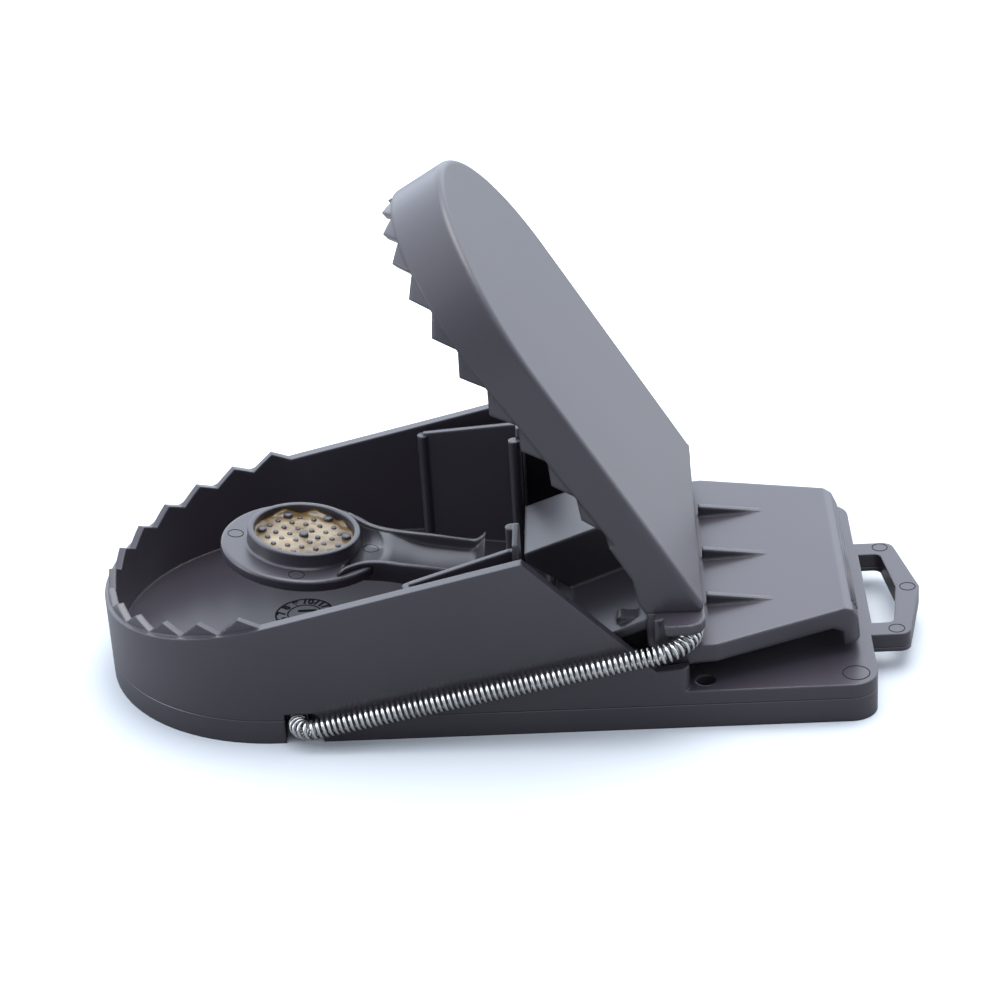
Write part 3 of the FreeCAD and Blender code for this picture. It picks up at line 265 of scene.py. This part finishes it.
dark_ink = material("dial_lettering", (0.004, 0.004, 0.005), 0.8, specular=0.15)
add_grain(dark_ink, 3000, 0.1, 0.00003)

steel = material("bright_wire", (0.54, 0.53, 0.52), 0.2, metallic=1.0)
add_colour_drift(steel, (0.46, 0.45, 0.44), (0.62, 0.61, 0.60), 300)

SOLID_LOOKS = {
    "base_tray": tray_plastic,
    "upper_jaw": rolled_plastic,
    "setting_lever": rolled_plastic,
    "hinge_pin": plastic,
    "treadle_pin": plastic,
}
for name, look in SOLID_LOOKS.items():
    solid = frame["nodes"][name]
    solid.data.materials.clear()
    solid.data.materials.append(look)


# Spring, the same loop as in the solids with the real wire's close pitch

COIL_DIAMETER = 2.6
WIRE = 0.45
COIL_RADIUS = (COIL_DIAMETER - WIRE) / 2
SPRING_SIDE = BASE_HALF_WIDTH + COIL_DIAMETER / 2 + 0.3
SPRING_FRONT_BEND = 2.4
SPRING_REAR_BEND = 4.5
SPRING_FRONT_X = -26.6
SPRING_FRONT_Z = 2.4
SPRING_REAR_X = HINGE.x + BEAM_REAR_FROM_HINGE + COIL_DIAMETER / 2 + 0.6
SPRING_REAR_Z = 12.4
SPRING_SLOPE = math.atan2(SPRING_REAR_Z - SPRING_FRONT_Z, SPRING_REAR_X - SPRING_FRONT_X)
COIL_PITCH = 0.7
CROSSING_PITCH = 8.0
PITCH_CHANGE = 5
WIRE_END_GAP = 0.2
POINTS_PER_TURN = 18
WIRE_SIDES = 8


def spring_points():
    """The middle line of the wire: coils wound round a loop with round bends."""
    bends = SPRING_FRONT_BEND, SPRING_REAR_BEND
    half_front, half_rear = [SPRING_SIDE - bend for bend in bends]
    front_quarter, rear_quarter = [bend * math.pi / 2 for bend in bends]
    length = (SPRING_REAR_X - SPRING_FRONT_X) / math.cos(SPRING_SLOPE) - sum(bends)
    one_side = [
        (half_front, 0), (front_quarter, SPRING_FRONT_BEND), (length, 0), (rear_quarter, SPRING_REAR_BEND),
    ]
    runs = one_side + [(2 * half_rear, 0)] + one_side[::-1]
    total = sum(run for run, bend in runs)
    along = Vector((math.cos(SPRING_SLOPE), 0, math.sin(SPRING_SLOPE)))
    across = Vector((0, -1, 0))
    normal = across.cross(along)
    start = Vector((SPRING_FRONT_X, 0, SPRING_FRONT_Z))
    coil_from = half_front
    coil_to = half_front + front_quarter + length + rear_quarter

    def at(distance):
        """The place on the loop at this distance from its start, and the way to the loop's inside."""
        point, heading, left = start.copy(), across.copy(), distance
        for run, bend in runs:
            step = min(left, run)
            inward = normal.cross(heading)
            if bend:
                turn = step / bend
                point = point + heading * (bend * math.sin(turn))
                point = point + inward * (bend * (1 - math.cos(turn)))
                heading = heading * math.cos(turn) + inward * math.sin(turn)
            else:
                point = point + heading * step
            left -= step
            if left <= 1e-9:
                break
        return point, normal.cross(heading)

    def pitch_at(distance):
        """The close pitch on the sides, growing softly to the stretched pitch of the crossings."""
        mirrored = min(distance, total - distance)
        gap = max(coil_from - mirrored, mirrored - coil_to, 0)
        share = min(gap / PITCH_CHANGE, 1)
        return COIL_PITCH + (CROSSING_PITCH - COIL_PITCH) * share * share * (3 - 2 * share)

    points = []
    distance, angle = WIRE_END_GAP, 0.0
    while distance < total - WIRE_END_GAP:
        point, inward = at(distance)
        points.append(point + (inward * math.cos(angle) + normal * math.sin(angle)) * COIL_RADIUS)
        distance += pitch_at(distance) / POINTS_PER_TURN
        angle += 2 * math.pi / POINTS_PER_TURN
    return points


spring = new_object("spring_coils", *tube_along(spring_points(), WIRE / 2, WIRE_SIDES))
spring.data.materials.append(steel)
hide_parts("closing_spring")
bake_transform(spring)


# Treadle: drawn level about the middle of its disc's top face, then tipped up at the front

TIP = math.radians(7.46)
DISC_MIDDLE = Vector((-26.63, 0, 15.57))
ALONG = Vector((math.cos(TIP), 0, -math.sin(TIP)))
UPWARD = Vector((math.sin(TIP), 0, math.cos(TIP)))


def tipped(form):
    """Moves a form from the treadle's level drawing to its place on the trap."""
    vertices, faces = form
    return [DISC_MIDDLE + ALONG * v[0] + Vector((0, v[1], 0)) + UPWARD * v[2] for v in vertices], faces


# A ring close to a rounding keeps the flat beside it shaded flat
HOLD = 0.1
SHARP_ANGLE = math.radians(40)

DISC_RADIUS = 10.68
DISC_THICKNESS = 1.5
DISC_ROUND = 0.4
DISC_FOOT = 0.2
DISC_PROFILE = [
    (0, 0),
    (DISC_RADIUS - DISC_ROUND - HOLD, 0),
    (DISC_RADIUS - DISC_ROUND, 0),
    (DISC_RADIUS - 0.4 * DISC_ROUND, -0.15 * DISC_ROUND),
    (DISC_RADIUS - 0.1 * DISC_ROUND, -0.45 * DISC_ROUND),
    (DISC_RADIUS, -DISC_ROUND),
    (DISC_RADIUS, -DISC_ROUND - HOLD),
    (DISC_RADIUS, DISC_FOOT + HOLD - DISC_THICKNESS),
    (DISC_RADIUS, DISC_FOOT - DISC_THICKNESS),
    (DISC_RADIUS - DISC_FOOT, -DISC_THICKNESS),
    (DISC_RADIUS - DISC_FOOT - HOLD, -DISC_THICKNESS),
    (0, -DISC_THICKNESS),
]

# Where the middle point of a softened corner lies, as a share of the corner's cut
CORNER_MIDDLE = 0.3


def soft_corner(x, y, into_x, into_y):
    """Three points round a corner, from its level side to its upright side."""
    return [(x + into_x, y), (x + CORNER_MIDDLE * into_x, y + CORNER_MIDDLE * into_y), (x, y + into_y)]


CUP_RADIUS = 7.3
CUP_INNER_RADIUS = 6.5
CUP_HEIGHT = 2.0
CUP_ROUND = 0.2
CUP_PROFILE = [
    (CUP_INNER_RADIUS, 0.1),
    (CUP_INNER_RADIUS, CUP_HEIGHT - CUP_ROUND - HOLD),
    *soft_corner(CUP_INNER_RADIUS, CUP_HEIGHT, CUP_ROUND, -CUP_ROUND)[::-1],
    *soft_corner(CUP_RADIUS, CUP_HEIGHT, -CUP_ROUND, -CUP_ROUND),
    (CUP_RADIUS, CUP_HEIGHT - CUP_ROUND - HOLD),
    (CUP_RADIUS + 0.02, 0.4),
    (CUP_RADIUS + 0.08, 0.14),
    (CUP_RADIUS + 0.3, -0.02),
    (CUP_RADIUS, -0.3),
]

# Stations of the arm: distance behind the disc's middle, half width, top of the side flanges, floor
# between them, underside, and thickness of the flanges
ARM_STATIONS = [
    (4.9, 8.70, -0.20, -0.50, -1.40, 1.0),
    (5.1, 8.50, 0.35, -0.20, -1.45, 1.0),
    (5.6, 8.00, 0.62, -0.05, -1.50, 1.0),
    (6.6, 6.90, 0.62, 0.03, -1.60, 1.0),
    (8.2, 5.60, 0.54, 0.04, -2.10, 0.95),
    (10.0, 4.95, 0.42, 0.04, -2.40, 0.9),
    (11.2, 4.85, 0.34, 0.03, -2.45, 0.9),
    (12.2, 4.85, 0.28, -0.35, -2.50, 0.9),
    (14.5, 4.85, 0.20, -1.05, -2.70, 0.9),
    (17.0, 4.85, 0.10, -1.40, -2.90, 0.9),
    (21.0, 4.85, -0.20, -1.55, -2.80, 0.9),
    (22.3, 4.85, -0.22, -1.50, -2.30, 0.9),
    (22.9, 4.85, 0.30, -0.60, -1.40, 0.9),
    (23.5, 4.85, 1.00, 0.40, -0.30, 0.9),
]
FLANGE_ROUND = 0.35
CHANNEL_FILLET = 0.5
ARM_FOOT = 0.3


def corners_cut(rows, rounds=2):
    """Rounds off a run of rows of numbers and leaves its ends in place."""
    for _ in range(rounds):
        softer = [rows[0]]
        for a, b in zip(rows, rows[1:]):
            softer.append(tuple(0.75 * p + 0.25 * q for p, q in zip(a, b)))
            softer.append(tuple(0.25 * p + 0.75 * q for p, q in zip(a, b)))
        rows = softer + [rows[-1]]
    return rows


def channel_outline(half, top, floor, under, wall):
    """The channel's outline seen along the arm, with rounded flange tops and filleted insides."""
    lip = min(FLANGE_ROUND, 0.4 * (top - floor))
    fillet = min(CHANNEL_FILLET, 0.5 * (top - floor))
    inside = half - wall
    one_side = (
        soft_corner(half, under, -ARM_FOOT, ARM_FOOT)
        + soft_corner(half, top, -lip, -lip)[::-1]
        + soft_corner(inside, top, lip, -lip)
        + soft_corner(inside, floor, -fillet, fillet)[::-1]
    )
    return one_side + [(-y, v) for y, v in reversed(one_side)]


def make_arm():
    vertices, faces = [], []
    stations = corners_cut(ARM_STATIONS)
    for distance, *measures in stations:
        vertices += [(distance, y, v) for y, v in channel_outline(*measures)]
    count = len(vertices) // len(stations)
    for ring in range(len(stations) - 1):
        a = ring * count
        for i in range(count):
            j = (i + 1) % count
            faces.append((a + i, a + j, a + count + j, a + count + i))
    faces.append(tuple(range(count))[::-1])
    faces.append(tuple(range(len(vertices) - count, len(vertices))))
    return vertices, faces


EAR_INSIDE, EAR_OUTSIDE = 3.2, 4.9
EAR_RADIUS, EAR_BORE = 1.4, 0.66
EAR_WEB_BREADTH = 1.6 * EAR_RADIUS
EAR_WEB_HEIGHT = 1.5
EAR_WEB_LAP = 0.5


def make_ear(side):
    """A round ear on the treadle's pin, with a web up to the arm."""
    middle = PIVOT - DISC_MIDDLE
    pin_along, pin_up = middle.dot(ALONG), middle.dot(UPWARD)
    profile = [
        (EAR_BORE, EAR_INSIDE), (EAR_RADIUS, EAR_INSIDE), (EAR_RADIUS, EAR_OUTSIDE), (EAR_BORE, EAR_OUTSIDE),
    ]
    ring, faces = ring_lathe(profile, 32)
    ring = [(pin_along + x, side * z, pin_up + y) for x, y, z in ring]
    web = box_form(
        (
            pin_along,
            side * (EAR_INSIDE + EAR_OUTSIDE) / 2,
            pin_up + EAR_RADIUS - EAR_WEB_LAP + EAR_WEB_HEIGHT / 2,
        ),
        (EAR_WEB_BREADTH, EAR_OUTSIDE - EAR_INSIDE, EAR_WEB_HEIGHT),
    )
    return join_forms([(ring, faces), web])


PIN_LENGTH = 1.4
LARGE_PIN_TOP = 1.33
LARGE_PIN_RADIUS = 0.6
LARGE_PIN_CIRCLE = 5.5
LARGE_PIN_FIRST, LARGE_PIN_STEP = 1.6, 57.5
LARGE_PIN_PLACES = [(0.0, 0.0)] + [
    (LARGE_PIN_CIRCLE * math.cos(angle), LARGE_PIN_CIRCLE * math.sin(angle))
    for angle in (math.radians(LARGE_PIN_FIRST + LARGE_PIN_STEP * number) for number in range(4))
]


def pin(place, radius, top):
    """A moulded pin with a softened end."""
    profile = [
        (radius + 0.06, -PIN_LENGTH), (radius, -0.12), (radius - 0.04, -0.04), (radius - 0.12, 0), (0, 0),
    ]
    return lathe(profile, (place[0], place[1], top), 20)


treadle = new_object("treadle_moulding", *tipped(join_forms([
    lathe(DISC_PROFILE, (0, 0, 0), 96),
    ring_lathe(CUP_PROFILE, 96),
    make_arm(),
    make_ear(-1),
    make_ear(1),
] + [pin(place, LARGE_PIN_RADIUS, LARGE_PIN_TOP) for place in LARGE_PIN_PLACES])))
treadle.data.set_sharp_from_angle(angle=SHARP_ANGLE)
treadle.data.materials.append(plastic)
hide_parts("bait_treadle")
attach(treadle, "treadle")


# Bait paste and the small pins in it

PASTE_LEVEL = 0.85
PASTE_FOOT = 0.02
PASTE_RINGS, PASTE_SIDES = 26, 96
PASTE_SWELL = 0.16
PASTE_EDGE = 1.0

paste_look = material("bait_paste", (0.26, 0.19, 0.10), 0.26)
add_colour_drift(
    paste_look, (0.115, 0.068, 0.022), (0.34, 0.26, 0.155), 260,
    middle=(DISC_MIDDLE + UPWARD * PASTE_LEVEL) * MM, fade=(0.0042, 0.0062),
)
add_grain(paste_look, 900, 0.25, 0.00008)


def paste_height(radius, angle):
    """A gently swelling top that climbs the cup's wall raggedly."""
    x, y = radius * math.cos(angle), radius * math.sin(angle)
    swell = noise.noise(Vector((x * 0.9, y * 0.9, 2.0))) * PASTE_SWELL
    ragged = noise.noise(Vector((math.cos(angle) * 3, math.sin(angle) * 3, 9.0)))
    edge = max(0.0, radius - CUP_INNER_RADIUS + PASTE_EDGE)
    climb = edge * edge * (0.25 + 0.5 * ragged)
    return PASTE_LEVEL + swell + climb


def make_paste():
    """The paste's top and its side, down to the cup's floor."""
    angles = [2 * math.pi * i / PASTE_SIDES for i in range(PASTE_SIDES)]
    radii = [CUP_INNER_RADIUS * ring / PASTE_RINGS for ring in range(PASTE_RINGS + 1)]
    vertices = [
        (radius * math.cos(angle), radius * math.sin(angle), paste_height(radius, angle))
        for radius in radii for angle in angles
    ]
    vertices += [
        (CUP_INNER_RADIUS * math.cos(angle), CUP_INNER_RADIUS * math.sin(angle), PASTE_FOOT)
        for angle in angles
    ]
    faces = []
    for ring in range(PASTE_RINGS + 1):
        for i in range(PASTE_SIDES):
            j = (i + 1) % PASTE_SIDES
            a, b = ring * PASTE_SIDES, (ring + 1) * PASTE_SIDES
            faces.append((a + i, b + i, b + j, a + j))
    return vertices, faces


paste = new_object("paste", *tipped(make_paste()))
paste.data.materials.append(paste_look)
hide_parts("bait_paste")
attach(paste, "treadle")

PIN_GRID_ALONG = (1.835, -0.22)
PIN_GRID_DOWN = (-0.931, -1.439)
PIN_GRID_REACH = 6
SMALL_PIN_RADIUS = 0.36
SMALL_PIN_TOP = 1.05
SMALL_PIN_FROM_WALL = 0.7
SMALL_PIN_FROM_LARGE = 1.0


def small_pin_places():
    """The places of the small pins from the cup's middle, clear of the wall and the large pins."""
    places = []
    steps = range(-PIN_GRID_REACH, PIN_GRID_REACH + 1)
    for i in steps:
        for j in steps:
            x = i * PIN_GRID_ALONG[0] + j * PIN_GRID_DOWN[0]
            y = i * PIN_GRID_ALONG[1] + j * PIN_GRID_DOWN[1]
            from_large = min(math.hypot(x - a, y - b) for a, b in LARGE_PIN_PLACES)
            from_wall = CUP_INNER_RADIUS - math.hypot(x, y)
            if from_wall > SMALL_PIN_FROM_WALL and from_large >= SMALL_PIN_FROM_LARGE:
                places.append((x, y))
    return places


small_pins = new_object("small_pins", *tipped(join_forms([
    pin(place, SMALL_PIN_RADIUS, SMALL_PIN_TOP) for place in small_pin_places()
])))
small_pins.data.materials.append(plastic)
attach(small_pins, "treadle")


# Mould marks: faint round witness lines

MARK_HEIGHT = 0.03
MARK_DEPTH = 0.05


def mark_rings(name, body, places, radius, width, placed=None):
    """Low round ridges lying on a face."""
    inner = radius - width
    profile = [(inner, -MARK_DEPTH), (inner, MARK_HEIGHT), (radius, MARK_HEIGHT), (radius, -MARK_DEPTH)]
    form = join_forms([lathe(profile, place, 40) for place in places])
    ring = new_object(name, *(placed(form) if placed else form), smooth=False)
    ring.data.materials.append(dark_ink)
    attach(ring, body)


mark_rings("plate_mark", "base", [(42.8, -21.1, PLATE_TOP)], radius=1.72, width=0.12)
mark_rings(
    "handle_marks", "base",
    [(48.9, 10.9, PLATE_TOP), (51.4, 0.05, PLATE_TOP), (48.9, -10.6, PLATE_TOP)], radius=1.05, width=0.1,
)
mark_rings(
    "disc_marks", "treadle",
    [(-8.9, 0.9, 0), (-0.2, -8.9, 0), (8.75, -0.6, 0.02)], radius=1.05, width=0.1, placed=tipped,
)


# Fine ribs on the lever's rear lip

LIP_RIBS = [(42.95, 11.0), (43.26, 10.4), (43.55, 9.84)]
LIP_RIB_HALF = 13.2
LIP_RIB_RADIUS = 0.17
lip_ribs = new_object("lip_ribs", *join_forms([
    tube_along([Vector((x, -LIP_RIB_HALF, z)), Vector((x, LIP_RIB_HALF, z))], LIP_RIB_RADIUS, 10)
    for x, z in LIP_RIBS
]))
lip_ribs.data.materials.append(plastic)
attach(lip_ribs, "jaw")


# Dial on the tray's floor: two rings, twelve numbers and a pointer

DIAL = Vector((-27.5, 0.3, FLOOR_TOP))
DIAL_NUMBER_RADIUS = 3.05
DIAL_TWELVE_AT = 26
mark_rings("dial_rings", "base", [DIAL], radius=3.9, width=0.24)
mark_rings("dial_inner_ring", "base", [DIAL], radius=2.3, width=0.18)


def number_on_dial(number):
    angle = math.radians(DIAL_TWELVE_AT + 30 * (12 - number))
    curve = bpy.data.curves.new(f"dial_number_{number}", "FONT")
    curve.body = str(number)
    curve.size = 1.6 * MM
    curve.align_x = "CENTER"
    curve.align_y = "CENTER"
    curve.extrude = 0.04 * MM
    curve.offset = 0.06 * MM
    thing = bpy.data.objects.new(f"dial_number_{number}", curve)
    bpy.context.scene.collection.objects.link(thing)
    out = Vector((math.cos(angle), math.sin(angle), 0))
    thing.location = (DIAL + out * DIAL_NUMBER_RADIUS) * MM
    thing.rotation_euler = (0, 0, angle - math.pi / 2)
    curve.materials.append(dark_ink)
    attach(thing, "base")


for number in range(1, 13):
    number_on_dial(number)

POINTER_FROM_DIAL = Vector((0.3, 0.7, 0))
POINTER_SIZE = (2.4, 0.5, 0.08)
pointer = new_object("dial_pointer", *box_form(DIAL + POINTER_FROM_DIAL, POINTER_SIZE), smooth=False)
pointer.data.materials.append(dark_ink)
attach(pointer, "base")


# Floor: white far off, with a painted shadow that makes it a little greyer near the trap

scene = bpy.context.scene
scene.view_settings.view_transform = "Standard"

FLOOR_HALF = 1.5
FLOOR_OVAL = (0.62, 1.0, 1.0)
# Painted shadow: the floor's own colour turns greyer in an oval round the trap, standing in for the trap's
# shade
FLOOR_SHADE_FROM, FLOOR_SHADE_TO = 0.035, 0.085
FLOOR_PAINTED_SHADOW = (0.55, 0.565, 0.585, 1)
FLOOR_FAR = (0.86, 0.86, 0.86, 1)
# The trap mirrors a greyer floor than the one the camera sees
FLOOR_MIRRORED = 0.42


def floor_material():
    made = material("pale_floor", (0.72, 0.735, 0.75), 0.7)
    place = node(made, "ShaderNodeTexCoord")
    oval = node(made, "ShaderNodeMapping", Scale=FLOOR_OVAL)
    wire_up(made, place, "Object", oval, "Vector")
    away = node(made, "ShaderNodeVectorMath", "LENGTH")
    wire_up(made, oval, "Vector", away, 0)
    share = map_range(made, away, "Value", (FLOOR_SHADE_FROM, FLOOR_SHADE_TO), (0, 1), smooth=True)
    ramp = node(made, "ShaderNodeValToRGB")
    ramp.color_ramp.elements[0].color = FLOOR_PAINTED_SHADOW
    ramp.color_ramp.elements[1].color = FLOOR_FAR
    wire_up(made, share, 0, ramp, "Fac")
    paths = node(made, "ShaderNodeLightPath")
    dimming = map_range(made, paths, "Is Camera Ray", (0, 1), (FLOOR_MIRRORED, 1))
    tone = node(made, "ShaderNodeVectorMath", "SCALE")
    wire_up(made, ramp, "Color", tone, 0)
    wire_up(made, dimming, 0, tone, "Scale")
    wire_up(made, tone, 0, principled(made), "Base Color")
    return made


floor_mesh = bpy.data.meshes.new("floor")
floor_corners = [(x * FLOOR_HALF, y * FLOOR_HALF, 0) for x, y in ((-1, -1), (1, -1), (1, 1), (-1, 1))]
floor_mesh.from_pydata(floor_corners, [], [(0, 1, 2, 3)])
floor = bpy.data.objects.new("floor", floor_mesh)
scene.collection.objects.link(floor)
floor.data.materials.append(floor_material())


# Room: white to the camera, and to the trap bright behind and above and dimmer in front

BRIGHT_SIDE = Vector((0.10, 0.72, 0.68)).normalized()
ROOM_DIM, ROOM_BRIGHT = 0.62, 2.6
ROOM_COLOUR = (0.80, 0.88, 1.0, 1)

world = bpy.data.worlds.new("studio")
scene.world = world
world.use_nodes = True
world.node_tree.nodes.clear()
look = node(world, "ShaderNodeTexCoord")
toward = node(world, "ShaderNodeVectorMath", "DOT_PRODUCT")
toward.inputs[1].default_value = BRIGHT_SIDE
wire_up(world, look, "Generated", toward, 0)
room = map_range(world, toward, "Value", (-0.5, 0.85), (ROOM_DIM, ROOM_BRIGHT), smooth=True)
ambient = node(world, "ShaderNodeBackground", Color=ROOM_COLOUR)
wire_up(world, room, 0, ambient, "Strength")
seen = node(world, "ShaderNodeBackground", Color=(1, 1, 1, 1), Strength=1.0)
paths = node(world, "ShaderNodeLightPath")
mix = node(world, "ShaderNodeMixShader")
output = node(world, "ShaderNodeOutputWorld")
wire_up(world, paths, "Is Camera Ray", mix, 0)
wire_up(world, ambient, 0, mix, 1)
wire_up(world, seen, 0, mix, 2)
wire_up(world, mix, 0, output, "Surface")


# Lights

def soft_light(name, place, aim, size, power, colour=(1, 1, 1)):
    data = bpy.data.lights.new(name, "AREA")
    data.shape = "RECTANGLE"
    data.size, data.size_y = size
    data.energy = power
    data.color = colour
    light = bpy.data.objects.new(name, data)
    light.location = place
    light.rotation_mode = "QUATERNION"
    light.rotation_quaternion = (Vector(aim) - Vector(place)).to_track_quat("-Z", "Y")
    scene.collection.objects.link(light)


soft_light("softbox_over", (0.10, 0.12, 0.60), (0, 0, 0), (0.5, 0.4), 3.0)
soft_light("softbox_left", (-0.65, -0.10, 0.22), (0, 0, 0.02), (0.35, 0.35), 1.6, (0.86, 0.93, 1.0))


# Camera at the photo's angle

CAMERA_AIM = Vector((-0.58, 0, 19.2)) * MM
CAMERA_DISTANCE = 361.9 * MM
YAW, PITCH, ROLL = math.radians(2.69), math.radians(27.56), math.radians(-3.68)
FOCAL_LENGTH = 101.3
SENSOR_WIDTH = 36
PICTURE_SIZE = 1000
AIM_PIXEL = (502.6, 508.2)

back = Vector((
    math.sin(YAW) * math.cos(PITCH), -math.cos(YAW) * math.cos(PITCH), math.sin(PITCH),
))
level = Vector((math.cos(YAW), math.sin(YAW), 0))
rise = back.cross(level)
right = level * math.cos(ROLL) + rise * math.sin(ROLL)
up = rise * math.cos(ROLL) - level * math.sin(ROLL)
camera_data = bpy.data.cameras.new("camera")
camera_data.lens = FOCAL_LENGTH
camera_data.sensor_width = SENSOR_WIDTH
camera_data.shift_x = (PICTURE_SIZE / 2 - AIM_PIXEL[0]) / PICTURE_SIZE
camera_data.shift_y = (AIM_PIXEL[1] - PICTURE_SIZE / 2) / PICTURE_SIZE
camera_data.clip_start, camera_data.clip_end = 0.01, 10
camera = bpy.data.objects.new("camera", camera_data)
turn = Matrix((right, up, back)).transposed().to_4x4()
camera.matrix_world = Matrix.Translation(CAMERA_AIM + back * CAMERA_DISTANCE) @ turn
scene.collection.objects.link(camera)
scene.camera = camera
